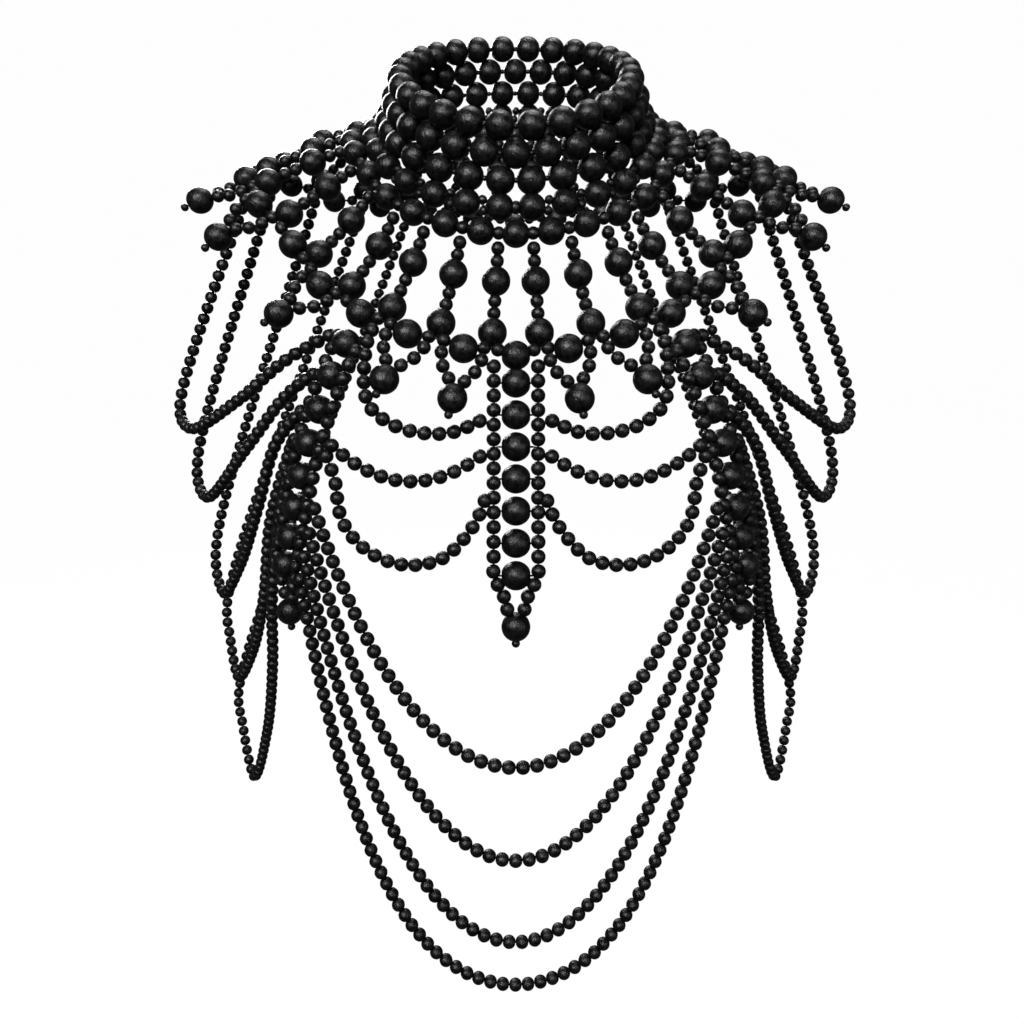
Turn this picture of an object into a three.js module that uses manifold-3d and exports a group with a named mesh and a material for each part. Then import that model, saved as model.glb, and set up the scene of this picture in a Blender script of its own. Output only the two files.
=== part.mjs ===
// Beaded shoulder mantle: a collar of five bead rows, a net of spokes and a hem round the
// shoulders, a centre pendant, two side columns, and swags and arm loops of small beads.
// Millimetres, +Z up, the wearer faces -Y. The origin is the middle of the neck rim.
import * as THREE from 'three';
import { mergeVertices } from 'three/addons/utils/BufferGeometryUtils.js';
import Module from 'manifold-3d';

const wasm = await Module();
wasm.setup();

// ---- driving sizes ----
const POSITIONS = 28;          // bead positions round the neck, 0 at the front and 14 at the back
const RIM_BEAD = 12.2;         // rows 1 to 3
const COLLAR_BEAD = 11.6;      // rows 4 and 5
const NET_BEAD = 12.7;         // spokes, hem, pendant and columns
const COLLAR_SPACER = 5.6;     // small beads between the large ones of rows 4 and 5
const NET_SMALL = 5.8;         // small beads of the spokes and hem
const HANGING_SMALL = 6.1;     // small beads of the chains, swags and loops
const STOPPER_BEAD = 3.6;      // closing bead under each drop
const THREAD = 1.6;            // thread thickness between beads
const GAP = 0.3;               // clearance between neighbouring pieces

const RIM = { halfWidth: 56, halfDepth: 68, tilt: 19.7, sideLift: 3.5 };

// How the net falls away from the rim, in degrees: the bearing of the fall from the front over
// the collar and over the net, and the slope below level over the collar, the yoke and the hem.
const DRAPE = [
  { position: 0, collarBearing: 0, bearing: 0, collar: 92.5, yoke: 71.5, hem: 49 },
  { position: 2, collarBearing: 78, bearing: 27, collar: 87.5, yoke: 63, hem: 39 },
  { position: 3, collarBearing: 112, bearing: 36.5, collar: 80, yoke: 63, hem: 29 },
  { position: 4, collarBearing: 126, bearing: 43.5, collar: 70.5, yoke: 57.5, hem: 22 },
  { position: 5, collarBearing: 144, bearing: 42, collar: 59, yoke: 41, hem: 22.5 },
  { position: 6, collarBearing: 140, bearing: 56.5, collar: 60.5, yoke: 16.5, hem: 35.5 },
  { position: 7, collarBearing: 131, bearing: 71.5, collar: 60.5, yoke: 14, hem: 23.5 },
  { position: 8.5, collarBearing: 125.5, bearing: 93.5, collar: 60.5, yoke: 9, hem: 45.5 },
  { position: 10, collarBearing: 138, bearing: 112, collar: 66.5, yoke: 30, hem: 53.5 },
  { position: 14, collarBearing: 180, bearing: 180, collar: 84, yoke: 58, hem: 70.5 },
];
const STATIONS = { collar: 20, yoke: 40, hem: 118 };   // fall from the rim, along the net

// Distances along the net from the rim.
const ROW_FALL = { row2: 11, row3: 22, row4: 33.4, row5: 44.9 };
const CLUSTER_FALL = 99;       // the two small beads under each spoke
const HEM_FALL = 100.9;        // the large hem beads
const DROP_FALL = 126;         // the drop beads under the hem
const CLUSTER_SPREAD = 0.135;  // half the distance between cluster beads, in positions

// Drops hang at these positions on both sides. The pendant hangs at 0, the columns at 3 and
// the arm loops behind the shoulders.
const DROP_POSITIONS = [1, 2, 4, 6, 7];
const PENDANT_ROUTE = [[0, -95, -114.5], [0, -109, -149], [0, -124, -185], [0, -131.9, -204.3]];
const PENDANT_PITCH = 13.87;
const PENDANT_BEADS = 8;
const COLUMN_ROUTE = [
  [68.8, -79.8, -100.1], [80.9, -95.5, -126.1], [92.2, -99.7, -156.2], [100.8, -98.6, -187.3],
  [108.5, -94.5, -215.2],
];
const COLUMN_BEADS = 9;
const COLUMN_TURN = 50;        // degrees that the columns' ladders face outwards
// Where the side chains start, counted in beads: inner or left, and outer or right.
const PENDANT_STARTS = { [-1]: 1.25, 1: 1.25 };
const COLUMN_STARTS = { [-1]: 1.95, 1: 1.62 };
const LADDER_HALF = 9.6;       // from the middle of a ladder to its side chains
const LADDER_DROP = 24.5;      // from the last rung to the drop bead
const SIDE_SEAT = LADDER_HALF + HANGING_SMALL / 2 + 0.3;   // where a swag meets a side chain

// Strands of small beads. Beads are counted down a ladder from the hem bead, which is 1.
const CHEST_SWAGS = [
  { name: '1', hemPosition: 2.5, pendantBead: 3.1, route: [[64.7, -93.8, -111.5], [65.2, -99, -118.5],
    [65.2, -103.8, -125.5], [63, -108.5, -135], [55.1, -112, -141.5], [43.5, -113.5, -145.5],
    [28, -113.5, -146]] },
  { name: '2', pendantBead: 4.16, columnBead: 4.74, slack: 1.092, reach: 8 },
  { name: '3', columnBead: 5, pendantBead: 5.5, route: [[78.8, -112, -168.5], [77.7, -114, -180.8], [74.4, -116, -189],
    [66.4, -119.5, -197], [55.1, -123, -201.7], [43.8, -125, -202.3], [31.6, -126, -198.6],
    [22.9, -125, -190.6], [16.8, -123, -182.1], [13.3, -121, -173.7]] },
];
const BELLY_SWAGS = [
  { name: '1', columnBead: 6.6, drop: 107.3, reach: 45, fullness: 1.5 },
  { name: '2', columnBead: 7.4, drop: 146.2, reach: 45, fullness: 1.32 },
  { name: '3', columnBead: 8.2, drop: 184, reach: 45, fullness: 1.85 },
  { name: '4', columnBead: 9, drop: 200.6, reach: 45, fullness: 2.98 },
];
// Each loop leaves the outer side of a column, passes the arm and ends at the back of the hem.
const ARM_LOOPS = [
  { name: '1', columnBead: 1.75, hemPosition: 7.5, route: [[105, -72, -122], [136, -52, -146],
    [174, -18, -169], [185, 2, -161]] },
  { name: '2', columnBead: 3, hemPosition: 8.5, route: [[107, -72, -139], [135, -50, -171],
    [172, -12, -210], [182, 8, -198]] },
  { name: '3', columnBead: 4.1, hemPosition: 9.5, route: [[113, -74, -161], [131, -54, -201],
    [153, -25, -246], [173, 0, -274], [182, 22, -255]] },
  { name: '4', columnBead: 5, hemPosition: 10.5, route: [[106, -78, -164], [123, -62, -205],
    [135, -46, -254], [153, -20, -303], [170, 0, -331], [179, 20, -316], [182, 32, -294]] },
  { name: '5', columnBead: 6, hemPosition: 11.5, route: [[116, -76, -205], [125, -66, -247],
    [133, -50, -294], [148, -25, -354], [167, -2, -402], [177, 18, -377], [180, 28, -356]] },
];
const STRAND_STEP = 14;        // length of a straight piece in a strand of small beads
const STRAND_END = 2.5;        // length drawn in at each end of a strand

// ---- vector helpers on [x, y, z] ----
const plus = (p, q, k = 1) => [p[0] + k * q[0], p[1] + k * q[1], p[2] + k * q[2]];
const minus = (p, q) => plus(p, q, -1);
const cross = (p, q) => [p[1] * q[2] - p[2] * q[1], p[2] * q[0] - p[0] * q[2], p[0] * q[1] - p[1] * q[0]];
const dot = (p, q) => p[0] * q[0] + p[1] * q[1] + p[2] * q[2];
const unit = (p) => plus([0, 0, 0], p, 1 / Math.hypot(...p));
const mix = (p, q, t) => plus(p, minus(q, p), t);
const radians = (degrees) => degrees * Math.PI / 180;
const mirrored = (side) => (p) => [side * p[0], p[1], p[2]];

function along(route, distance) {
  for (let i = 0; i + 1 < route.length; i += 1) {
    const step = Math.hypot(...minus(route[i + 1], route[i]));
    if (distance <= step) return mix(route[i], route[i + 1], distance / step);
    distance -= step;
  }
  return route[route.length - 1];
}

function lengthOf(route) {
  return route.slice(1).reduce((sum, p, i) => sum + Math.hypot(...minus(p, route[i])), 0);
}

function smoothRoute(points, perSpan = 12) {
  const curve = new THREE.CatmullRomCurve3(points.map((p) => new THREE.Vector3(...p)), false, 'centripetal');
  return curve.getPoints(perSpan * (points.length - 1)).map((v) => v.toArray());
}

// ---- the shape of the net ----
const ARC_STEPS = 1440;
const arcAngle = (i) => 2 * Math.PI * i / ARC_STEPS;
const arcLengths = [0];
for (let i = 0; i < ARC_STEPS; i += 1) {
  const dx = RIM.halfWidth * (Math.sin(arcAngle(i + 1)) - Math.sin(arcAngle(i)));
  const dy = RIM.halfDepth * (Math.cos(arcAngle(i + 1)) - Math.cos(arcAngle(i)));
  arcLengths.push(arcLengths[i] + Math.hypot(dx, dy));
}

// Angle on the rim's ellipse of a position, with positions spread evenly along the rim.
function rimAngle(position) {
  const turn = ((position % POSITIONS) + POSITIONS) % POSITIONS;
  const wanted = turn / POSITIONS * arcLengths[ARC_STEPS];
  const i = Math.max(1, arcLengths.findIndex((length) => length >= wanted));
  const share = (wanted - arcLengths[i - 1]) / (arcLengths[i] - arcLengths[i - 1]);
  return arcAngle(i - 1 + share);
}

function drapeAt(position) {
  const turn = ((position % POSITIONS) + POSITIONS) % POSITIONS;
  const half = Math.min(turn, POSITIONS - turn);
  const side = turn <= POSITIONS / 2 ? 1 : -1;
  const i = Math.max(1, DRAPE.findIndex((row) => row.position >= half));
  const [a, b] = [DRAPE[i - 1], DRAPE[i]];
  const share = (half - a.position) / (b.position - a.position);
  const value = (key) => radians(a[key] + (b[key] - a[key]) * share);
  return {
    bearings: [side * value('collarBearing'), side * value('bearing'), side * value('bearing')],
    slopes: [value('collar'), value('yoke'), value('hem')],
  };
}

// A value at a fall, from its values at the collar, the yoke and the hem.
function atFall([collar, yoke, hem], fall) {
  if (fall <= STATIONS.collar) return collar;
  if (fall <= STATIONS.yoke) {
    return collar + (yoke - collar) * (fall - STATIONS.collar) / (STATIONS.yoke - STATIONS.collar);
  }
  const share = Math.min(1, (fall - STATIONS.yoke) / (STATIONS.hem - STATIONS.yoke));
  return yoke + (hem - yoke) * share;
}

// The point of the net at a position round the neck and a fall from the rim.
function netPoint(position, fall) {
  const angle = rimAngle(position);
  const tilt = radians(RIM.tilt);
  const depth = -RIM.halfDepth * Math.cos(angle);
  const { bearings, slopes } = drapeAt(position);
  const steps = Math.max(1, Math.floor(fall / 2));
  const step = fall / steps;
  let at = [
    RIM.halfWidth * Math.sin(angle), depth * Math.cos(tilt),
    depth * Math.sin(tilt) + RIM.sideLift * Math.sin(angle) ** 2,
  ];
  for (let i = 0; i < steps; i += 1) {
    const bearing = atFall(bearings, (i + 0.5) * step);
    const slope = atFall(slopes, (i + 0.5) * step);
    const level = Math.cos(slope);
    at = plus(at, [level * Math.sin(bearing), -level * Math.cos(bearing), -Math.sin(slope)], fall / steps);
  }
  return at;
}

// ---- strings of beads on a thread ----
const bead = (at, diameter) => ({ at, diameter });
const BELT = { offset: 0.4, radius: 0.9 };     // the two rings of a large bead, as shares of its radius

// Rings that a string's surface passes through: a large bead has two, a small bead one,
// and the thread shows between beads.
function stringRings(beads, closed) {
  const rings = [];
  const count = beads.length;
  for (let i = 0; i < count; i += 1) {
    const { at, diameter } = beads[i];
    const before = beads[(i + count - 1) % count];
    const after = beads[(i + 1) % count];
    const lead = unit(minus(i === 0 && !closed ? at : before.at, i === count - 1 && !closed ? at : after.at));
    const offsets = diameter >= COLLAR_BEAD ? [-BELT.offset, BELT.offset] : [0];
    for (const offset of offsets) {
      const radius = diameter / 2 * (offset ? BELT.radius : 1);
      rings.push({ at: plus(at, lead, -offset * diameter / 2), radius });
    }
    const isJoint = closed || i < count - 1;
    if (isJoint && Math.min(diameter, after.diameter) > COLLAR_SPACER) {
      const share = diameter / (diameter + after.diameter);
      rings.push({ at: mix(at, after.at, share), radius: THREAD / 2 });
    }
  }
  return rings;
}

// The corner directions of each ring: `across` and `over`, both square to the thread.
function ringFrames(rings, closed, downAt) {
  const frames = [];
  let across = null;
  for (let i = 0; i < rings.length; i += 1) {
    const last = rings.length - 1;
    const before = rings[closed ? (i + last) % rings.length : Math.max(0, i - 1)].at;
    const after = rings[closed ? (i + 1) % rings.length : Math.min(last, i + 1)].at;
    const ahead = unit(minus(after, before));
    if (closed) across = cross(ahead, downAt(i / rings.length));
    else if (!across) across = cross(ahead, Math.abs(ahead[2]) < 0.8 ? [0, 0, 1] : [0, 1, 0]);
    across = unit(plus(across, ahead, -dot(across, ahead)));
    frames.push({ across, over: cross(across, ahead) });
  }
  return frames;
}

// An open string is a capped cylinder whose rings are moved along its route.
function openTube(rings, sides) {
  const frames = ringFrames(rings, false);
  const geometry = new THREE.CylinderGeometry(1, 1, 1, sides, rings.length - 1);
  const position = geometry.attributes.position;
  for (let i = 0; i < position.count; i += 1) {
    const index = Math.round((0.5 - position.getY(i)) * (rings.length - 1));
    const { across, over } = frames[index];
    const { at, radius } = rings[index];
    const outward = plus(at, across, position.getX(i) * radius);
    position.setXYZ(i, ...plus(outward, over, -position.getZ(i) * radius));
  }
  return welded(geometry);
}

const openString = (beads, sides) => openTube(stringRings(beads, false), sides);

// A closed string is a torus whose rings are moved along its route. Its corners point down the
// net, so that neighbouring rows meet.
function closedString(beads, sides, downAt) {
  const rings = stringRings(beads, true);
  const frames = ringFrames(rings, true, downAt);
  const geometry = new THREE.TorusGeometry(1, 0.1, sides, rings.length);
  const position = geometry.attributes.position;
  for (let i = 0; i < position.count; i += 1) {
    const index = i % (rings.length + 1) % rings.length;
    const turn = Math.PI / 2 + 2 * Math.PI * Math.floor(i / (rings.length + 1)) / sides;
    const { across, over } = frames[index];
    const { at, radius } = rings[index];
    const outward = plus(at, across, Math.cos(turn) * radius);
    position.setXYZ(i, ...plus(outward, over, Math.sin(turn) * radius));
  }
  return welded(geometry);
}

function welded(geometry) {
  geometry.deleteAttribute('normal');
  geometry.deleteAttribute('uv');
  return mergeVertices(geometry, 1e-3);
}

function joined(geometries) {
  const solids = geometries.map((geometry) => new wasm.Manifold(new wasm.Mesh({
    numProp: 3,
    vertProperties: Float32Array.from(geometry.attributes.position.array),
    triVerts: Uint32Array.from(geometry.index.array),
  })));
  const whole = solids.slice(1).reduce((sum, solid) => sum.add(solid), solids[0]).getMesh();
  const geometry = new THREE.BufferGeometry();
  geometry.setAttribute('position', new THREE.BufferAttribute(whole.vertProperties, 3));
  geometry.setIndex(new THREE.BufferAttribute(whole.triVerts, 1));
  return geometry;
}

// A strand of small beads too fine to show one by one: a tube along its true route, drawn in
// to the thread at both ends.
function strand(route) {
  const total = lengthOf(route);
  const steps = Math.round((total - 2 * STRAND_END) / STRAND_STEP);
  const rings = [{ at: route[0], radius: THREAD / 2 }];
  for (let i = 0; i <= steps; i += 1) {
    const distance = STRAND_END + (total - 2 * STRAND_END) * i / steps;
    rings.push({ at: along(route, distance), radius: HANGING_SMALL / 2 });
  }
  rings.push({ at: route[route.length - 1], radius: THREAD / 2 });
  return openTube(rings, 4);
}

// ---- materials ----
const beadFinish = { color: 0x131212, metalness: 0, roughness: 0.42 };
const group = new THREE.Group();

function addPiece(name, geometry) {
  geometry.computeVertexNormals();
  const mesh = new THREE.Mesh(geometry, new THREE.MeshStandardMaterial(beadFinish));
  mesh.name = name;
  group.add(mesh);
}

// ---- collar ----
// Down the net, at a share of the way round a row.
const downNet = (fall, offset) => (share) => {
  const position = share * POSITIONS + offset;
  return minus(netPoint(position, fall + 1), netPoint(position, fall));
};

function plainRow(fall, offset) {
  const beads = [];
  for (let i = 0; i < POSITIONS; i += 1) beads.push(bead(netPoint(i + offset, fall), RIM_BEAD));
  return closedString(beads, 6, downNet(fall, offset));
}

function spacedRow(fall, offset) {
  const beads = [];
  for (let i = 0; i < POSITIONS; i += 1) {
    beads.push(bead(netPoint(i + offset, fall), COLLAR_BEAD));
    beads.push(bead(netPoint(i + offset + 0.5, fall), COLLAR_SPACER));
  }
  return closedString(beads, 4, downNet(fall, offset));
}

addPiece('rim_row', plainRow(0, 0.5));
addPiece('collar_row_2', plainRow(ROW_FALL.row2, 0));
addPiece('collar_row_3', plainRow(ROW_FALL.row3, 0.5));
addPiece('collar_row_4', spacedRow(ROW_FALL.row4, 0.5));
addPiece('collar_row_5', spacedRow(ROW_FALL.row5, 0));

// ---- spokes ----
function spoke(position) {
  const beads = [];
  const topFall = ROW_FALL.row5 + COLLAR_SPACER / 2 + 4 * GAP;
  let fall = topFall;
  for (const diameter of [NET_SMALL, NET_SMALL, NET_BEAD, NET_SMALL, NET_SMALL, NET_BEAD]) {
    beads.push(bead(netPoint(position, fall + diameter / 2), diameter));
    fall += diameter;
  }
  const top = bead(netPoint(position, topFall), THREAD);
  return openString([top, ...beads, bead(netPoint(position, CLUSTER_FALL - THREAD - 2 * GAP), THREAD)], 4);
}

for (let i = 0; i < POSITIONS; i += 1) {
  addPiece(`spoke_${String(i + 1).padStart(2, '0')}`, spoke(i + 0.5));
}

// ---- hem: a ring of large beads and clusters, with drops hung in a V ----
const clusterPoint = (position, side) => netPoint(position + side * CLUSTER_SPREAD, CLUSTER_FALL);

function hemRing() {
  const beads = [];
  for (let i = 0; i < POSITIONS; i += 1) {
    beads.push(bead(netPoint(i, HEM_FALL), NET_BEAD));
    beads.push(bead(clusterPoint(i + 0.5, -1), NET_SMALL));
    beads.push(bead(clusterPoint(i + 0.5, 1), NET_SMALL));
  }
  return closedString(beads, 4, downNet(HEM_FALL, 0));
}

// One arm of a V: three small beads from a cluster bead to the top of the drop.
const V_ARM = [
  { across: 0.35, fall: 6 }, { across: 0.265, fall: 12.4 }, { across: 0.125, fall: 17.8 },
];

function vDrop(position) {
  const arm = (side) => V_ARM.map((row) => bead(
    netPoint(position + side * row.across, CLUSTER_FALL + row.fall), NET_SMALL));
  const start = (side) => bead(clusterPoint(position + side * 0.5, -side), THREAD);
  const top = bead(netPoint(position, DROP_FALL - NET_BEAD * 0.42), THREAD);
  const arms = openString([start(-1), ...arm(-1), top, ...arm(1).reverse(), start(1)], 3);
  const end = DROP_FALL + NET_BEAD / 2 + STOPPER_BEAD;
  const drop = openString([
    bead(netPoint(position, DROP_FALL - NET_BEAD / 2), THREAD), bead(netPoint(position, DROP_FALL), NET_BEAD),
    bead(netPoint(position, end - STOPPER_BEAD / 2), STOPPER_BEAD), bead(netPoint(position, end), THREAD),
  ], 4);
  return [arms, drop];
}

const drops = DROP_POSITIONS.flatMap((i) => [i, -i]).flatMap(vDrop);
addPiece('hem_net', joined([hemRing(), ...drops]));

// ---- ladders: the pendant and the side columns ----
const pendantRoute = smoothRoute(PENDANT_ROUTE);
const columnRoute = smoothRoute(COLUMN_ROUTE);
const columnPitch = lengthOf(columnRoute) / (COLUMN_BEADS - 1);
const pendantPoint = (count) => along(pendantRoute, (count - 1) * PENDANT_PITCH);

function columnPoint(count, side = 0, half = LADDER_HALF) {
  const at = along(columnRoute, (count - 1) * columnPitch);
  const below = Math.max(0, count - COLUMN_BEADS) * columnPitch;
  const turn = radians(COLUMN_TURN);
  return [at[0] + side * half * Math.cos(turn), at[1] + side * half * Math.sin(turn), at[2] - below];
}

function evenBeads(route, diameter, pitch) {
  const total = lengthOf(route);
  const count = Math.round(total / pitch);
  return [...Array(count).keys()].map((i) => bead(along(route, (i + 0.5) * total / count), diameter));
}

// Large beads on rungs between two side chains that meet at a drop bead.
function ladder(point, count, sidePoint, reflect, starts) {
  const last = point(count);
  const drop = plus(last, [0, 0, -LADDER_DROP]);
  const neck = plus(drop, [0, 0, NET_BEAD * 0.42]);
  const pieces = [];
  const chain = (side) => {
    const route = [];
    for (let i = starts[side]; i <= count; i += 0.5) route.push(sidePoint(i, side));
    route.push(sidePoint(count + 0.15, side));
    route.push(mix(sidePoint(count, side * 0.9), drop, 0.45));
    route.push(neck);
    return smoothRoute(route, 4).map(reflect);
  };
  for (const side of [-1, 1]) {
    const route = chain(side);
    const beads = evenBeads(route, HANGING_SMALL, HANGING_SMALL + 0.4);
    pieces.push(openString([bead(route[0], THREAD), ...beads, bead(route[route.length - 1], THREAD)], 3));
  }
  for (let i = 2; i <= count; i += 1) {
    const [left, right] = [sidePoint(i, -1), sidePoint(i, 1)];
    pieces.push(openString([bead(left, THREAD), bead(point(i), NET_BEAD), bead(right, THREAD)]
      .map(({ at, diameter }) => bead(reflect(at), diameter)), 4));
  }
  const stopper = plus(drop, [0, 0, -(NET_BEAD + STOPPER_BEAD) / 2]);
  pieces.push(openString([
    bead(plus(drop, [0, 0, NET_BEAD / 2]), THREAD), bead(drop, NET_BEAD), bead(stopper, STOPPER_BEAD),
    bead(plus(stopper, [0, 0, -STOPPER_BEAD / 2]), THREAD),
  ].map(({ at, diameter }) => bead(reflect(at), diameter)), 4));
  return joined(pieces);
}

const pendantSide = (count, side) => plus(pendantPoint(count), [side * LADDER_HALF, 0, 0]);
addPiece('pendant', ladder(pendantPoint, PENDANT_BEADS, pendantSide, mirrored(1), PENDANT_STARTS));
for (const [name, side] of [['left', -1], ['right', 1]]) {
  addPiece(`column_${name}`, ladder(columnPoint, COLUMN_BEADS, columnPoint, mirrored(side), COLUMN_STARTS));
}

// ---- swags and loops ----
const SAG_STEPS = 48;
const sag = (u, fullness) => 1 - (Math.cosh(fullness * u) - 1) / (Math.cosh(fullness) - 1);

// A strand that hangs between two points, dropped and pushed forward by the body.
function hungStrand(from, to, { drop, reach, fullness }) {
  const route = [];
  for (let i = 0; i <= SAG_STEPS; i += 1) {
    const u = Math.cos(Math.PI * i / SAG_STEPS);
    const share = sag(u, fullness);
    route.push(plus(mix(from, to, (1 - u) / 2), [0, -reach * share, -drop * share]));
  }
  return route;
}

// A slack strand between two points at different heights: a catenary of a given length.
function slackStrand(from, to, { slack, reach }) {
  const level = Math.hypot(to[0] - from[0], to[1] - from[1]);
  const rise = to[2] - from[2];
  const total = Math.hypot(level, rise) * slack;
  const wanted = Math.sqrt(total * total - rise * rise) / level;
  let [low, high] = [1e-3, 12];
  for (let i = 0; i < 60; i += 1) {
    const middle = (low + high) / 2;
    if (Math.sinh(middle) / middle < wanted) low = middle;
    else high = middle;
  }
  const scale = level / 2 / low;
  const lowest = level / 2 - scale * Math.asinh(rise / (2 * scale * Math.sinh(low)));
  const route = [];
  for (let i = 0; i <= SAG_STEPS; i += 1) {
    const share = i / SAG_STEPS;
    const at = mix(from, to, share);
    const z = from[2] + scale * (Math.cosh((level * share - lowest) / scale) - Math.cosh(lowest / scale));
    route.push([at[0], at[1] - reach * Math.sin(Math.PI * share), z]);
  }
  return route;
}

const pendantSeat = (count) => plus(pendantPoint(count), [SIDE_SEAT, 0, 0]);
const columnSeat = (count, side) => columnPoint(count, side, SIDE_SEAT);

// A strand ends under the outer bead of a hem cluster.
function hemSeat(position) {
  return netPoint(position + CLUSTER_SPREAD, CLUSTER_FALL + NET_SMALL / 2 + 2 * GAP);
}

function chestRoute(row) {
  const end = pendantSeat(row.pendantBead);
  if (!row.route) return slackStrand(end, columnSeat(row.columnBead, -1), row);
  const start = row.hemPosition ? hemSeat(row.hemPosition) : columnSeat(row.columnBead, -1);
  return smoothRoute([start, ...row.route, end], 6);
}

function loopRoute(row) {
  return smoothRoute([columnSeat(row.columnBead, 1), ...row.route, hemSeat(row.hemPosition)]);
}

for (const [name, side] of [['left', -1], ['right', 1]]) {
  for (const row of CHEST_SWAGS) {
    addPiece(`chest_swag_${name}_${row.name}`, strand(chestRoute(row).map(mirrored(side))));
  }
}

for (const row of BELLY_SWAGS) {
  const end = columnSeat(row.columnBead, -1);
  addPiece(`belly_swag_${row.name}`, strand(hungStrand(mirrored(-1)(end), end, row)));
}

for (const [name, side] of [['left', -1], ['right', 1]]) {
  for (const row of ARM_LOOPS) {
    addPiece(`arm_loop_${name}_${row.name}`, strand(loopRoute(row).map(mirrored(side))));
  }
}

export default group;
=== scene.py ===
import math

import bmesh
import bpy
from mathutils import Matrix, Vector


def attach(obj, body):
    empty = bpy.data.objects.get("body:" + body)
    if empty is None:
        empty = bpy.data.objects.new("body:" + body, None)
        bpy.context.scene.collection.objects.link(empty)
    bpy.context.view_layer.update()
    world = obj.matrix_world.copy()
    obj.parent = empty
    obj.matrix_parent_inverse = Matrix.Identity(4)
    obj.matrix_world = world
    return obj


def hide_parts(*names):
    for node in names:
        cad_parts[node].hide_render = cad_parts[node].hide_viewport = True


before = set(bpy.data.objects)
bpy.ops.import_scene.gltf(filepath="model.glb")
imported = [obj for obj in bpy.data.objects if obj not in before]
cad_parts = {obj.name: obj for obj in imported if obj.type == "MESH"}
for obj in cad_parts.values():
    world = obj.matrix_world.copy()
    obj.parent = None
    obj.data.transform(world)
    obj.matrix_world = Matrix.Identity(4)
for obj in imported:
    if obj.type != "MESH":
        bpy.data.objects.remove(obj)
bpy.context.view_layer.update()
print("frame loaded:", len(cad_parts), "nodes")

# Sizes of the mantle are in millimetres up to the point where a mesh is made. Those of the
# studio, the lights and the camera are in metres.
millimetre = 0.001
bodyName = "root"

# The net: 28 positions round the neck, 0 at the front and 14 at the back.
net = {
    "positions": 28,
    "rimHalfWidth": 56.0,
    "rimHalfDepth": 68.0,
    "rimTilt": 19.7,
    "rimSideLift": 3.5,
    "step": 2.0,                      # length of one step down the net
    "slopeAtFalls": (20.0, 40.0, 118.0),
}

# position, bearing over the collar, bearing over the net, slope of the collar, yoke and hem.
# But for the collar's slope at 14, the angles are the rounded results of a fitting program.
drape = [
    (0.0, 0.0, 0.0, 92.5, 71.5, 49.0),
    (2.0, 78.0, 27.0, 87.5, 63.0, 39.0),
    (3.0, 112.0, 36.5, 80.0, 63.0, 29.0),
    (4.0, 126.0, 43.5, 70.5, 57.5, 22.0),
    (5.0, 144.0, 42.0, 59.0, 41.0, 22.5),
    (6.0, 140.0, 56.5, 60.5, 16.5, 35.5),
    (7.0, 131.0, 71.5, 60.5, 14.0, 23.5),
    (8.5, 125.5, 93.5, 60.5, 9.0, 45.5),
    (10.0, 138.0, 112.0, 66.5, 30.0, 53.5),
    (14.0, 180.0, 180.0, 84.0, 58.0, 70.5),
]


def lengthOf(route):
    return sum((b - a).length for a, b in zip(route, route[1:]))


def along(route, distance):
    for a, b in zip(route, route[1:]):
        step = (b - a).length
        if distance <= step:
            return a.lerp(b, distance / step)
        distance -= step
    return route[-1].copy()


# A smooth curve through the points, wound as tightly as their spacing asks.
def smoothRoute(points, stepsPerSpan=12):
    points = [Vector(p) for p in points]
    ends = [2 * points[0] - points[1], *points, 2 * points[-1] - points[-2]]
    route = []
    for i in range(len(points) - 1):
        p0, p1, p2, p3 = ends[i:i + 4]
        d0, d1, d2 = [math.sqrt((b - a).length) for a, b in ((p0, p1), (p1, p2), (p2, p3))]
        t1 = d1 * ((p1 - p0) / d0 - (p2 - p0) / (d0 + d1) + (p2 - p1) / d1)
        t2 = d1 * ((p2 - p1) / d1 - (p3 - p1) / (d1 + d2) + (p3 - p2) / d2)
        for k in range(stepsPerSpan):
            t = k / stepsPerSpan
            curved = (-3 * p1 + 3 * p2 - 2 * t1 - t2) * t ** 2 + (2 * p1 - 2 * p2 + t1 + t2) * t ** 3
            route.append(p1 + t1 * t + curved)
    route.append(points[-1])
    return route


def evenPoints(route, pitch):
    total = lengthOf(route)
    count = round(total / pitch)
    return [along(route, (i + 0.5) * total / count) for i in range(count)]


arcSteps = 1440
arcLengths = [0.0]
for arcStep in range(arcSteps):
    arcFrom, arcTo = [2 * math.pi * i / arcSteps for i in (arcStep, arcStep + 1)]
    arcLengths.append(arcLengths[-1] + math.hypot(
        net["rimHalfWidth"] * (math.sin(arcTo) - math.sin(arcFrom)),
        net["rimHalfDepth"] * (math.cos(arcTo) - math.cos(arcFrom))))


# Angle on the rim's ellipse of a position, with positions spread evenly along the rim.
def rimAngle(position):
    wanted = (position % net["positions"]) / net["positions"] * arcLengths[-1]
    low, high = 0, arcSteps
    while high - low > 1:
        middle = (low + high) // 2
        if arcLengths[middle] <= wanted:
            low = middle
        else:
            high = middle
    share = (wanted - arcLengths[low]) / (arcLengths[high] - arcLengths[low])
    return 2 * math.pi * (low + share) / arcSteps


# Bearings and slopes of the fall at a position, in radians.
def drapeAt(position):
    turn = position % net["positions"]
    half = min(turn, net["positions"] - turn)
    side = 1 if turn <= net["positions"] / 2 else -1
    for a, b in zip(drape, drape[1:]):
        if half <= b[0]:
            share = (half - a[0]) / (b[0] - a[0])
            break
    row = [math.radians(x + (y - x) * share) for x, y in zip(a[1:], b[1:])]
    return (side * row[0], side * row[1], side * row[1]), (row[2], row[3], row[4])


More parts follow.
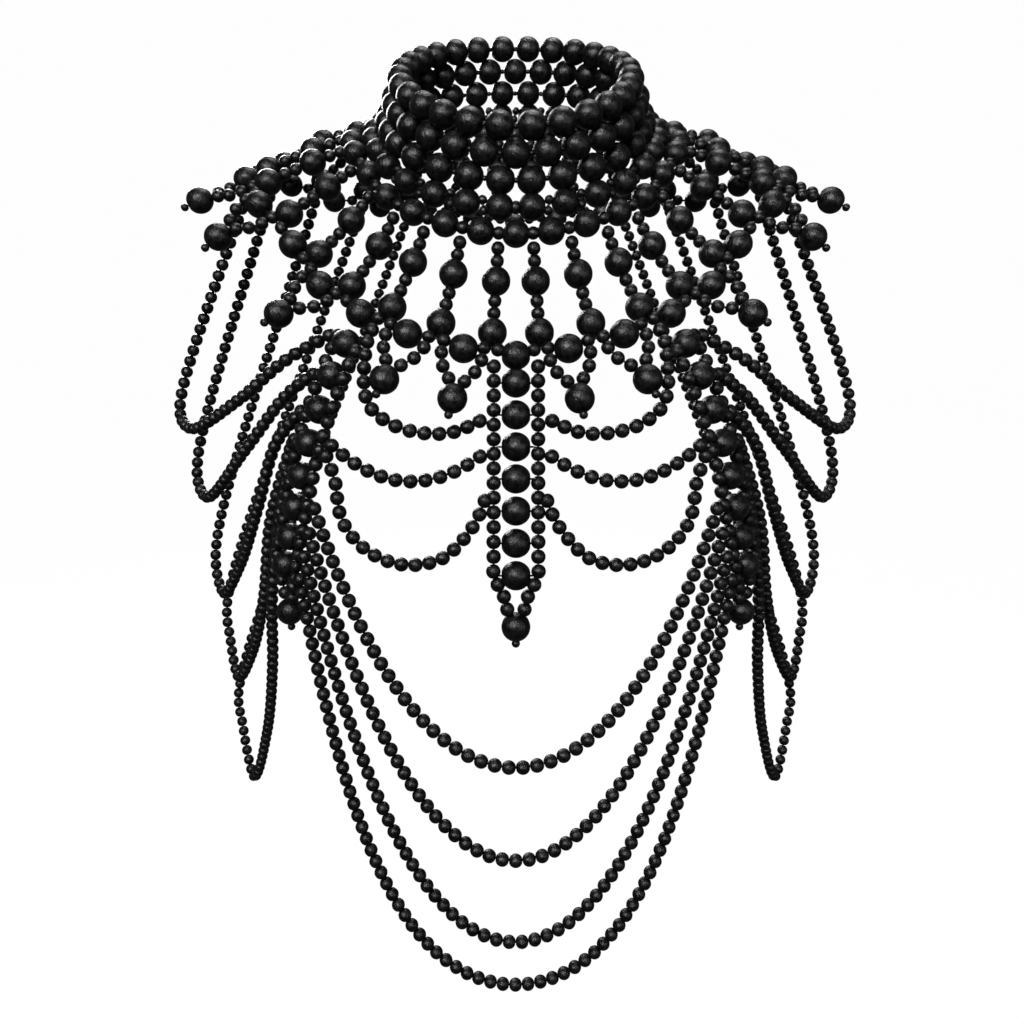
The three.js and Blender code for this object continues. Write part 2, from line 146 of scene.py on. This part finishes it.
def atFall(values, fall):
    stops = net["slopeAtFalls"]
    if fall <= stops[0]:
        return values[0]
    for i in (0, 1):
        if fall <= stops[i + 1]:
            share = (fall - stops[i]) / (stops[i + 1] - stops[i])
            return values[i] + (values[i + 1] - values[i]) * share
    return values[2]


# The point of the net at a position round the neck and a fall from the rim.
def netPoint(position, fall):
    angle = rimAngle(position)
    tilt = math.radians(net["rimTilt"])
    depth = -net["rimHalfDepth"] * math.cos(angle)
    bearings, slopes = drapeAt(position)
    at = Vector((
        net["rimHalfWidth"] * math.sin(angle),
        depth * math.cos(tilt),
        depth * math.sin(tilt) + net["rimSideLift"] * math.sin(angle) ** 2))
    steps = max(1, int(fall / net["step"]))
    step = fall / steps
    for i in range(steps):
        bearing = atFall(bearings, (i + 0.5) * step)
        slope = atFall(slopes, (i + 0.5) * step)
        level = math.cos(slope)
        at += step * Vector((level * math.sin(bearing), -level * math.cos(bearing), -math.sin(slope)))
    return at


# A turned bead with its hole along the thread: a round form with a dimple at each end.
beadForm = {
    "largeSides": 12,
    "largeRings": 8,
    "smallSides": 8,
    "smallRings": 6,
    "largeFrom": 9.0,                 # beads this wide or wider are the large form
    "largeSwell": 1.08,               # make up for what subdivision takes off
    "smallSwell": 1.21,
    "largeSquash": 0.98,              # length of a bead before subdivision, over its width
    "smallSquash": 0.92,
    "dimple": 0.92,                   # where the middle of each end is, as a share of the radius
}
beadMeshes = {}                       # one mesh for each width, copied to every bead of it


def beadMesh(diameter):
    if diameter not in beadMeshes:
        size = "large" if diameter >= beadForm["largeFrom"] else "small"
        radius = diameter / 2 * beadForm[size + "Swell"] * millimetre
        bm = bmesh.new()
        bmesh.ops.create_uvsphere(
            bm, u_segments=beadForm[size + "Sides"], v_segments=beadForm[size + "Rings"], radius=radius)
        nearEnd = radius * 0.999
        ends = [v for v in bm.verts if abs(v.co.z) > nearEnd]
        bmesh.ops.scale(bm, vec=(1, 1, beadForm["dimple"]), verts=ends)
        bmesh.ops.scale(bm, vec=(1, 1, beadForm[size + "Squash"]), verts=bm.verts)
        beadMeshes[diameter] = bpy.data.meshes.new("bead")
        bm.to_mesh(beadMeshes[diameter])
        bm.free()
    return beadMeshes[diameter]


def addCopy(bm, mesh, place):
    copied = mesh.copy()
    copied.transform(place)
    bm.from_mesh(copied)
    bpy.data.meshes.remove(copied)


def addBead(bm, at, ahead, diameter):
    turned = ahead.to_track_quat("Z", "Y").to_matrix().to_4x4()
    addCopy(bm, beadMesh(diameter), Matrix.Translation(at * millimetre) @ turned)


threadForm = {"width": 1.3, "sides": 6, "knotWidth": 2.3}


# A round thread through the points, closed into a ring or capped at both ends.
def addThread(bm, points, closed=False):
    count = len(points)
    thread = bmesh.new()
    loops = []
    across = None
    for i, at in enumerate(points):
        before = points[i - 1] if closed or i else at
        after = points[(i + 1) % count] if closed or i < count - 1 else at
        ahead = (after - before).normalized()
        if across is None:
            across = ahead.orthogonal()
        across = (across - ahead * across.dot(ahead)).normalized()
        over = ahead.cross(across)
        made = bmesh.ops.create_circle(
            thread, cap_ends=False, radius=threadForm["width"] / 2 * millimetre,
            segments=threadForm["sides"])
        turned = Matrix((across, over, ahead)).transposed().to_4x4()
        place = Matrix.Translation(at * millimetre) @ turned
        bmesh.ops.transform(thread, matrix=place, verts=made["verts"])
        loops.append(made["verts"])
    pairs = list(zip(loops, loops[1:])) + ([(loops[-1], loops[0])] if closed else [])
    for first, second in pairs:
        edges = [e for loop in (first, second) for e in ringEdges(loop)]
        bmesh.ops.bridge_loops(thread, edges=edges)
    if not closed:
        for loop in (loops[0], loops[-1]):
            bmesh.ops.holes_fill(thread, edges=ringEdges(loop), sides=0)
    threadMesh = bpy.data.meshes.new("thread")
    thread.to_mesh(threadMesh)
    thread.free()
    bm.from_mesh(threadMesh)
    bpy.data.meshes.remove(threadMesh)


def ringEdges(loop):
    members = set(loop)
    return [e for e in {e for v in loop for e in v.link_edges} if set(e.verts) <= members]


# Beads on a thread. Each bead is (point, diameter) and points along the thread.
def addString(bm, beads, closed=False):
    count = len(beads)
    for i, (at, diameter) in enumerate(beads):
        before = beads[i - 1][0] if closed or i else at
        after = beads[(i + 1) % count][0] if closed or i < count - 1 else at
        addBead(bm, at, (after - before).normalized(), diameter)
    addThread(bm, [at for at, diameter in beads], closed=closed)


def finishPiece(bm, name, material, nodes):
    bmesh.ops.recalc_face_normals(bm, faces=bm.faces)
    for face in bm.faces:
        face.smooth = True
    mesh = bpy.data.meshes.new(name)
    bm.to_mesh(mesh)
    bm.free()
    mesh.materials.append(material)
    piece = bpy.data.objects.new(name, mesh)
    bpy.context.scene.collection.objects.link(piece)
    smooth = piece.modifiers.new("round", "SUBSURF")
    smooth.levels = smooth.render_levels = 1
    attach(piece, bodyName)
    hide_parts(*nodes)
    print(name, "made,", len(mesh.polygons), "faces")


# A shader socket that sums can be written with.
class Value:
    def __init__(self, shader, socket):
        self.shader = shader
        self.socket = socket

    def sum(self, operation, first, second):
        return self.shader.add("ShaderNodeMath", {"operation": operation}, {0: first, 1: second})

    def __add__(self, other):
        return self.sum("ADD", self, other)

    def __radd__(self, other):
        return self.sum("ADD", other, self)

    def __sub__(self, other):
        return self.sum("SUBTRACT", self, other)

    def __rsub__(self, other):
        return self.sum("SUBTRACT", other, self)

    def __mul__(self, other):
        return self.sum("MULTIPLY", self, other)

    def __rmul__(self, other):
        return self.sum("MULTIPLY", other, self)


class Shader:
    def __init__(self, name):
        self.material = bpy.data.materials.new(name)
        self.material.use_nodes = True
        self.tree = self.material.node_tree
        self.surface = self.tree.nodes["Principled BSDF"]

    # Any node: its settings are set first, then the values or links of its sockets.
    def add(self, kind, settings, sockets, output=0):
        node = self.tree.nodes.new(kind)
        for key, value in settings.items():
            if key == "stops":
                self.setStops(node.color_ramp, value)
            else:
                setattr(node, key, value)
        self.fill(node, sockets)
        return Value(self, node.outputs[output])

    def fill(self, node, sockets):
        for key, value in sockets.items():
            if isinstance(value, Value):
                self.tree.links.new(value.socket, node.inputs[key])
            else:
                node.inputs[key].default_value = value

    def setStops(self, ramp, stops):
        while len(ramp.elements) < len(stops):
            ramp.elements.new(0.5)
        for element, (position, colour) in zip(ramp.elements, stops):
            element.position = position
            element.color = colour

    def mixColours(self, share, first, second):
        return self.add("ShaderNodeMix", {"data_type": "RGBA"}, {0: share, 6: first, 7: second}, output=2)


# The finish of the beads: nearly black, mottled and worn to a soft sheen.
blackBeads = {
    "deep": (0.0004, 0.0004, 0.0004, 1),
    "worn": (0.0038, 0.0036, 0.0034, 1),
    "mottleScale": 420.0,             # mottles to the metre
    "mottleDetail": 3.0,
    "mottleShare": 0.7,               # of the worn patches, the rest is grain
    "grainScale": 1100.0,
    "grainDetail": 4.0,
    "grainShare": 0.3,
    "grainStretch": (1.0, 1.0, 0.45),
    "noiseRoughness": 0.6,
    "patchFrom": 0.42,                # the noise at which a worn patch starts, and where it is full
    "patchFull": 0.72,
    "roughness": 0.13,
    "roughnessSpread": 0.40,
    "specular": 0.16,
    "bump": 1.0,
    "bumpDepth": 0.0003,
}


def makeBeadMaterial():
    shader = Shader("blackBeads")
    place = shader.add("ShaderNodeTexCoord", {}, {}, output="Object")
    stretched = shader.add("ShaderNodeMapping", {}, {"Vector": place, "Scale": blackBeads["grainStretch"]})
    mottle = shader.add("ShaderNodeTexNoise", {}, {
        "Vector": place, "Scale": blackBeads["mottleScale"], "Detail": blackBeads["mottleDetail"],
        "Roughness": blackBeads["noiseRoughness"]})
    grain = shader.add("ShaderNodeTexNoise", {}, {
        "Vector": stretched, "Scale": blackBeads["grainScale"], "Detail": blackBeads["grainDetail"],
        "Roughness": blackBeads["noiseRoughness"]})
    stops = [(blackBeads["patchFrom"], (0, 0, 0, 1)), (blackBeads["patchFull"], (1, 1, 1, 1))]
    patches = shader.add("ShaderNodeValToRGB", {"stops": stops}, {
        "Fac": mottle * blackBeads["mottleShare"] + grain * blackBeads["grainShare"]})
    colour = shader.mixColours(patches, blackBeads["deep"], blackBeads["worn"])
    bump = shader.add("ShaderNodeBump", {}, {
        "Strength": blackBeads["bump"], "Distance": blackBeads["bumpDepth"], "Height": grain + mottle})
    shader.fill(shader.surface, {
        "Base Color": colour,
        "Roughness": blackBeads["roughness"] + mottle * blackBeads["roughnessSpread"],
        "Specular IOR Level": blackBeads["specular"],
        "Normal": bump,
    })
    return shader.material


beadMaterial = makeBeadMaterial()
print("bead material made")

# Rows of the collar: node, piece, fall from the rim, and how far round its first bead is.
collar = {
    "bead": 12.8,
    "lowerBead": 12.2,
    "spacer": 5.6,
    "plainRows": (("rim_row", "rimRow", 0.0, 0.5), ("collar_row_2", "collarRow2", 11.0, 0.0),
                  ("collar_row_3", "collarRow3", 22.0, 0.5)),
    "spacedRows": (("collar_row_4", "collarRow4", 33.4, 0.5), ("collar_row_5", "collarRow5", 44.9, 0.0)),
    "pairedRow": "collar_row_4",      # its spacers are pairs, the outer one of each standing higher
    "pairBead": 4.0,
    "pairAside": 0.03,                # in positions
    "pairRise": 2.3,
}
positions = range(net["positions"])

for node, name, fall, offset in collar["plainRows"]:
    rowMesh = bmesh.new()
    addString(rowMesh, [(netPoint(i + offset, fall), collar["bead"]) for i in positions], closed=True)
    for i in positions:
        knotAt = netPoint(i + offset + 0.5, fall)
        knotAhead = (netPoint(i + offset + 0.6, fall) - netPoint(i + offset + 0.4, fall)).normalized()
        addBead(rowMesh, knotAt, knotAhead, threadForm["knotWidth"])
    finishPiece(rowMesh, name, beadMaterial, [node])

for node, name, fall, offset in collar["spacedRows"]:
    rowMesh = bmesh.new()
    rowBeads = []
    for i in positions:
        rowBeads.append((netPoint(i + offset, fall), collar["lowerBead"]))
        between = i + offset + 0.5
        if node == collar["pairedRow"] and between % net["positions"]:
            outward = 1 if between < net["positions"] / 2 else -1
            for side in (-1, 1):
                rise = side * outward * collar["pairRise"]
                pairAt = netPoint(between + side * collar["pairAside"], fall - rise)
                rowBeads.append((pairAt, collar["pairBead"]))
        else:
            rowBeads.append((netPoint(between, fall), collar["spacer"]))
    addString(rowMesh, rowBeads, closed=True)
    finishPiece(rowMesh, name, beadMaterial, [node])

# Spokes from the collar to the hem, between the positions.
spokes = {"small": 5.8, "large": 12.7, "top": 48.9, "pattern": "ssLssL"}
spokeMesh = bmesh.new()
for i in positions:
    spokeBeads = []
    fall = spokes["top"]
    for size in spokes["pattern"]:
        diameter = spokes["large" if size == "L" else "small"]
        spokeBeads.append((netPoint(i + 0.5, fall + diameter / 2), diameter))
        fall += diameter
    addString(spokeMesh, spokeBeads)
finishPiece(spokeMesh, "spokes", beadMaterial, [f"spoke_{i + 1:02d}" for i in positions])

# The hem ring, and the drops that hang in a V of small beads under some positions.
hem = {
    "fall": 100.9,
    "clusterFall": 99.0,
    "clusterSpread": 0.135,
    "small": 5.8,
    "large": 12.7,
    "stopper": 3.6,
    "dropFall": 126.0,
    "dropPositions": (1, 2, 4, 6, 7, -7, -6, -4, -2, -1),
    "arm": ((0.35, 6.0), (0.265, 12.4), (0.125, 17.8)),    # positions aside, and fall below the cluster
}


# A bead of the V that a drop hangs in, on one side of its position.
def armPoint(position, side, row):
    return netPoint(position + side * row[0], hem["clusterFall"] + row[1])


hemMesh = bmesh.new()
hemBeads = []
for i in positions:
    hemBeads.append((netPoint(i, hem["fall"]), hem["large"]))
    for side in (-1, 1):
        hemBeads.append((netPoint(i + 0.5 + side * hem["clusterSpread"], hem["clusterFall"]), hem["small"]))
addString(hemMesh, hemBeads, closed=True)
for position in hem["dropPositions"]:
    leftArm = [(armPoint(position, -1, row), hem["small"]) for row in hem["arm"]]
    rightArm = [(armPoint(position, 1, row), hem["small"]) for row in reversed(hem["arm"])]
    addString(hemMesh, leftArm)
    addString(hemMesh, rightArm)
    stopperFall = hem["dropFall"] + (hem["large"] + hem["stopper"]) / 2
    addString(hemMesh, [
        (netPoint(position, hem["dropFall"]), hem["large"]),
        (netPoint(position, stopperFall), hem["stopper"])])
finishPiece(hemMesh, "hemNet", beadMaterial, ["hem_net"])

# Ladders of large beads between two chains of small ones: the pendant and the side columns.
pendant = {
    "route": ((0, -95, -114.5), (0, -109, -149), (0, -124, -185), (0, -131.9, -204.3)),
    "pitch": 13.87,
    "beads": 8,
    "starts": {-1: 1.25, 1: 1.25},    # where each side chain starts, in beads
}
column = {
    "route": ((68.8, -79.8, -100.1), (80.9, -95.5, -126.1), (92.2, -99.7, -156.2),
              (100.8, -98.6, -187.3), (108.5, -94.5, -215.2)),
    "beads": 9,
    "turn": 50.0,                     # degrees that the ladder faces outwards
    "starts": {-1: 1.95, 1: 1.62},
}
ladder = {
    "large": 12.7,
    "small": 6.1,
    "pitch": 6.5,
    "half": 9.6,                      # from the middle to the side chains
    "drop": 24.5,
    "neckHalf": 3.3,                  # the chains end this far from the middle, above the drop
    "neckRise": 0.42,                 # height of that end over the drop's middle, in large beads
    "chainStep": 0.5,                 # the points of a chain are this far apart, in beads
    "chainPastEnd": 0.15,             # how far a chain runs on below the last rung, in beads
    "bend": (0.9, 0.45),              # where a chain turns inwards: share of the side and of the way down
    "stopper": 3.6,
    "seat": 12.95,                    # from the middle to the end of a swag
}
pendantRoute = smoothRoute(pendant["route"])
columnRoute = smoothRoute(column["route"])
columnPitch = lengthOf(columnRoute) / (column["beads"] - 1)


def pendantPoint(count, side=0, half=ladder["half"]):
    return along(pendantRoute, (count - 1) * pendant["pitch"]) + Vector((side * half, 0, 0))


def columnPoint(count, side=0, half=ladder["half"]):
    below = max(0, count - column["beads"]) * columnPitch
    turn = math.radians(column["turn"])
    return along(columnRoute, (count - 1) * columnPitch) + Vector(
        (side * half * math.cos(turn), side * half * math.sin(turn), -below))


def mirrored(point, side):
    return Vector((side * point.x, point.y, point.z))


def makeLadder(name, node, pointAt, count, starts, mirror):
    bm = bmesh.new()
    drop = pointAt(count) + Vector((0, 0, -ladder["drop"]))
    for side in (-1, 1):
        route = []
        place = starts[side]
        while place <= count:
            route.append(pointAt(place, side))
            place += ladder["chainStep"]
        route.append(pointAt(count + ladder["chainPastEnd"], side))
        route.append(pointAt(count, side * ladder["bend"][0]).lerp(drop, ladder["bend"][1]))
        neckHeight = ladder["large"] * ladder["neckRise"] - ladder["drop"]
        route.append(pointAt(count, side, ladder["neckHalf"]) + Vector((0, 0, neckHeight)))
        chain = [mirrored(p, mirror) for p in smoothRoute(route, 4)]
        addString(bm, [(p, ladder["small"]) for p in evenPoints(chain, ladder["pitch"])])
    for i in range(2, count + 1):
        rungEnds = [mirrored(pointAt(i, side), mirror) for side in (-1, 1)]
        middle = mirrored(pointAt(i), mirror)
        addBead(bm, middle, (rungEnds[1] - rungEnds[0]).normalized(), ladder["large"])
        addThread(bm, [rungEnds[0], middle, rungEnds[1]])
    down = Vector((0, 0, -1))
    stopper = drop + down * (ladder["large"] + ladder["stopper"]) / 2
    addString(bm, [
        (mirrored(drop, mirror), ladder["large"]),
        (mirrored(stopper, mirror), ladder["stopper"])])
    finishPiece(bm, name, beadMaterial, [node])


makeLadder("pendantBeads", "pendant", pendantPoint, pendant["beads"], pendant["starts"], 1)
makeLadder("columnLeft", "column_left", columnPoint, column["beads"], column["starts"], -1)
makeLadder("columnRight", "column_right", columnPoint, column["beads"], column["starts"], 1)

strand = {"bead": 6.1, "pitch": 6.22, "hemGap": 0.6}


def addStrand(bm, route):
    addString(bm, [(p, strand["bead"]) for p in evenPoints(route, strand["pitch"])])


def hemSeat(position):
    return netPoint(position + hem["clusterSpread"], hem["clusterFall"] + hem["small"] / 2 + strand["hemGap"])


# A slack strand between two points at different heights: a catenary of a given length.
def slackRoute(start, end, slack, reach, steps=48):
    level = math.hypot(end.x - start.x, end.y - start.y)
    rise = end.z - start.z
    total = math.hypot(level, rise) * slack
    wanted = math.sqrt(total ** 2 - rise ** 2) / level
    low, high = 1e-3, 12.0
    for i in range(60):
        middle = (low + high) / 2
        if math.sinh(middle) / middle < wanted:
            low = middle
        else:
            high = middle
    scale = level / 2 / low
    lowest = level / 2 - scale * math.asinh(rise / (2 * scale * math.sinh(low)))
    route = []
    for i in range(steps + 1):
        share = i / steps
        at = start.lerp(end, share)
        at.z = start.z + scale * (math.cosh((level * share - lowest) / scale) - math.cosh(lowest / scale))
        at.y -= reach * math.sin(math.pi * share)
        route.append(at)
    return route


# A strand hung between two level points, dropped and pushed forward by the body.
def hungRoute(start, end, drop, reach, fullness, steps=48):
    route = []
    for i in range(steps + 1):
        u = math.cos(math.pi * i / steps)
        share = 1 - (math.cosh(fullness * u) - 1) / (math.cosh(fullness) - 1)
        route.append(start.lerp(end, (1 - u) / 2) + Vector((0, -reach * share, -drop * share)))
    return route


# Beads are counted down a ladder from the hem bead, which is 1. The second swag's numbers came
# from a fitting program, and the points of the routes from a program that placed them in space.
chestSwags = {
    "first": {
        "hemPosition": 2.5,
        "pendantBead": 3.1,
        "route": ((64.7, -93.8, -111.5), (65.2, -99, -118.5), (65.2, -103.8, -125.5), (63, -108.5, -135),
                  (55.1, -112, -141.5), (43.5, -113.5, -145.5), (28, -113.5, -146)),
    },
    "second": {"pendantBead": 4.16, "columnBead": 4.74, "slack": 1.092, "reach": 8.0},
    "third": {
        "columnBead": 5.0,
        "pendantBead": 5.5,
        "route": ((78.8, -112, -168.5), (77.7, -114, -180.8), (74.4, -116, -189),
                  (66.4, -119.5, -197), (55.1, -123, -201.7), (43.8, -125, -202.3),
                  (31.6, -126, -198.6), (22.9, -125, -190.6), (16.8, -123, -182.1), (13.3, -121, -173.7)),
    },
}


def pendantSeat(count):
    return pendantPoint(count, 1, ladder["seat"])


def columnSeat(count, side):
    return columnPoint(count, side, ladder["seat"])


def chestRoute(swag):
    end = pendantSeat(swag["pendantBead"])
    if "slack" in swag:
        return slackRoute(end, columnSeat(swag["columnBead"], -1), swag["slack"], swag["reach"])
    start = hemSeat(swag["hemPosition"]) if "hemPosition" in swag else columnSeat(swag["columnBead"], -1)
    return smoothRoute([start, *swag["route"], end], 6)


chestRoutes = [chestRoute(swag) for swag in chestSwags.values()]

# Each loop leaves the outer side of a column, passes the arm and ends at the back of the hem.
# A program placed these points in space too.
armLoops = (                          # column bead, hem position, points between
    (1.75, 7.5, ((105, -72, -122), (136, -52, -146), (174, -18, -169), (185, 2, -161))),
    (3.0, 8.5, ((107, -72, -139), (135, -50, -171), (172, -12, -210), (182, 8, -198))),
    (4.1, 9.5, ((113, -74, -161), (131, -54, -201), (153, -25, -246), (173, 0, -274), (182, 22, -255))),
    (5.0, 10.5, ((106, -78, -164), (123, -62, -205), (135, -46, -254), (153, -20, -303), (170, 0, -331),
                 (179, 20, -316), (182, 32, -294))),
    (6.0, 11.5, ((116, -76, -205), (125, -66, -247), (133, -50, -294), (148, -25, -354), (167, -2, -402),
                 (177, 18, -377), (180, 28, -356))),
)
armRoutes = [
    smoothRoute([columnSeat(columnBead, 1), *route, hemSeat(position)])
    for columnBead, position, route in armLoops]

for sideName, side in (("left", -1), ("right", 1)):
    swagMesh = bmesh.new()
    for route in chestRoutes:
        addStrand(swagMesh, [mirrored(p, side) for p in route])
    finishPiece(swagMesh, f"chestSwags{sideName.title()}", beadMaterial,
                [f"chest_swag_{sideName}_{i + 1}" for i in range(len(chestRoutes))])
    loopMesh = bmesh.new()
    for route in armRoutes:
        addStrand(loopMesh, [mirrored(p, side) for p in route])
    finishPiece(loopMesh, f"armLoops{sideName.title()}", beadMaterial,
                [f"arm_loop_{sideName}_{i + 1}" for i in range(len(armRoutes))])

# Drop and fullness are the rounded results of a fitting program.
bellySwags = (                        # column bead, drop, reach, fullness
    (6.6, 107.3, 45.0, 1.50),
    (7.4, 146.2, 45.0, 1.32),
    (8.2, 184.0, 45.0, 1.85),
    (9.0, 200.6, 45.0, 2.98),
)
bellyMesh = bmesh.new()
for columnBead, drop, reach, fullness in bellySwags:
    swagEnd = columnSeat(columnBead, -1)
    addStrand(bellyMesh, hungRoute(mirrored(swagEnd, -1), swagEnd, drop, reach, fullness))
finishPiece(bellyMesh, "bellySwags", beadMaterial,
            [f"belly_swag_{i + 1}" for i in range(len(bellySwags))])

# A white studio: a round floor that curves up into a wall and gives its own even light.
studio = {
    "floorHeight": -0.80,
    "floorRadius": 3.2,
    "cornerRadius": 1.4,
    "wallHeight": 2.2,
    "cornerSteps": 16,
    "turnSteps": 64,
    "mergeWithin": 0.0005,
    "cloudScale": 0.6,
    "colour": (0.01, 0.01, 0.01, 1),
    "shade": (0.012, 0.012, 0.012, 1),
    "glow": (0.985, 0.985, 0.985, 1),
    "worldColour": (0.95, 0.97, 1.0, 1),
    "worldStrength": 0.10,
}


def makeStudio():
    shader = Shader("paleStudio")
    place = shader.add("ShaderNodeTexCoord", {}, {}, output="Object")
    cloud = shader.add("ShaderNodeTexNoise", {}, {
        "Vector": place, "Scale": studio["cloudScale"], "Detail": 1.0})
    shader.fill(shader.surface, {
        "Base Color": shader.mixColours(cloud, studio["colour"], studio["shade"]),
        "Roughness": 0.9,
        "Specular IOR Level": 0.0,
        "Emission Color": studio["glow"],
        "Emission Strength": 1.0,
    })
    bm = bmesh.new()
    height = studio["floorHeight"]
    edge = studio["floorRadius"]
    corner = studio["cornerRadius"]
    start = bm.verts.new((edge, 0, height))
    made = bmesh.ops.spin(
        bm, geom=[start], cent=(edge, 0, height + corner), axis=(0, -1, 0), angle=math.radians(90),
        steps=studio["cornerSteps"], use_merge=False)
    top = next(g for g in made["geom_last"] if isinstance(g, bmesh.types.BMVert))
    lifted = bmesh.ops.extrude_vert_indiv(bm, verts=[top])["verts"]
    bmesh.ops.translate(bm, vec=(0, 0, studio["wallHeight"]), verts=lifted)
    middle = bmesh.ops.extrude_vert_indiv(bm, verts=[start])["verts"]
    bmesh.ops.translate(bm, vec=(-edge, 0, 0), verts=middle)
    bmesh.ops.spin(
        bm, geom=bm.verts[:] + bm.edges[:], cent=(0, 0, 0), axis=(0, 0, 1), angle=math.radians(360),
        steps=studio["turnSteps"], use_merge=True)
    bmesh.ops.remove_doubles(bm, verts=bm.verts, dist=studio["mergeWithin"])
    bmesh.ops.recalc_face_normals(bm, faces=bm.faces)
    for face in bm.faces:
        face.smooth = True
    mesh = bpy.data.meshes.new("studioFloor")
    bm.to_mesh(mesh)
    bm.free()
    mesh.materials.append(shader.material)
    floor = bpy.data.objects.new("studioFloor", mesh)
    bpy.context.scene.collection.objects.link(floor)
    floor.visible_glossy = False      # the backdrop shows white, but doesn't turn the beads grey
    floor.visible_diffuse = False


makeStudio()
world = bpy.data.worlds.new("studioLight")
world.use_nodes = True
world.node_tree.nodes["Background"].inputs["Color"].default_value = studio["worldColour"]
world.node_tree.nodes["Background"].inputs["Strength"].default_value = studio["worldStrength"]
bpy.context.scene.world = world

lights = (                            # name, place, aimed at, size in metres, watts
    ("keyLight", (-0.35, -1.05, 0.60), (0, 0, -0.15), 0.5, 47),
    ("fillLight", (0.95, -1.00, 0.20), (0, 0, -0.15), 0.6, 8),
    ("topLight", (0.10, 0.50, 1.10), (0, 0, -0.1), 0.7, 18),
    ("backLight", (-0.50, 1.15, 0.30), (0, 0, -0.15), 0.6, 24),
)
for name, place, target, size, power in lights:
    data = bpy.data.lights.new(name, "AREA")
    data.shape = "DISK"
    data.size = size
    data.energy = power
    lamp = bpy.data.objects.new(name, data)
    lamp.location = place
    lamp.rotation_euler = (Vector(target) - Vector(place)).to_track_quat("-Z", "Y").to_euler()
    bpy.context.scene.collection.objects.link(lamp)
print("lights set")

camera = {"place": (-0.0017, -0.4853, -0.0466), "pitch": 70.0, "lens": 31.64, "sensor": 36.0}
cameraData = bpy.data.cameras.new("camera")
cameraData.lens = camera["lens"]
cameraData.sensor_width = camera["sensor"]
cameraData.clip_start = 0.01
cameraObject = bpy.data.objects.new("camera", cameraData)
cameraObject.location = camera["place"]
cameraObject.rotation_euler = (math.radians(camera["pitch"]), 0, 0)
bpy.context.scene.collection.objects.link(cameraObject)
bpy.context.scene.camera = cameraObject
bpy.context.scene.view_settings.view_transform = "Standard"
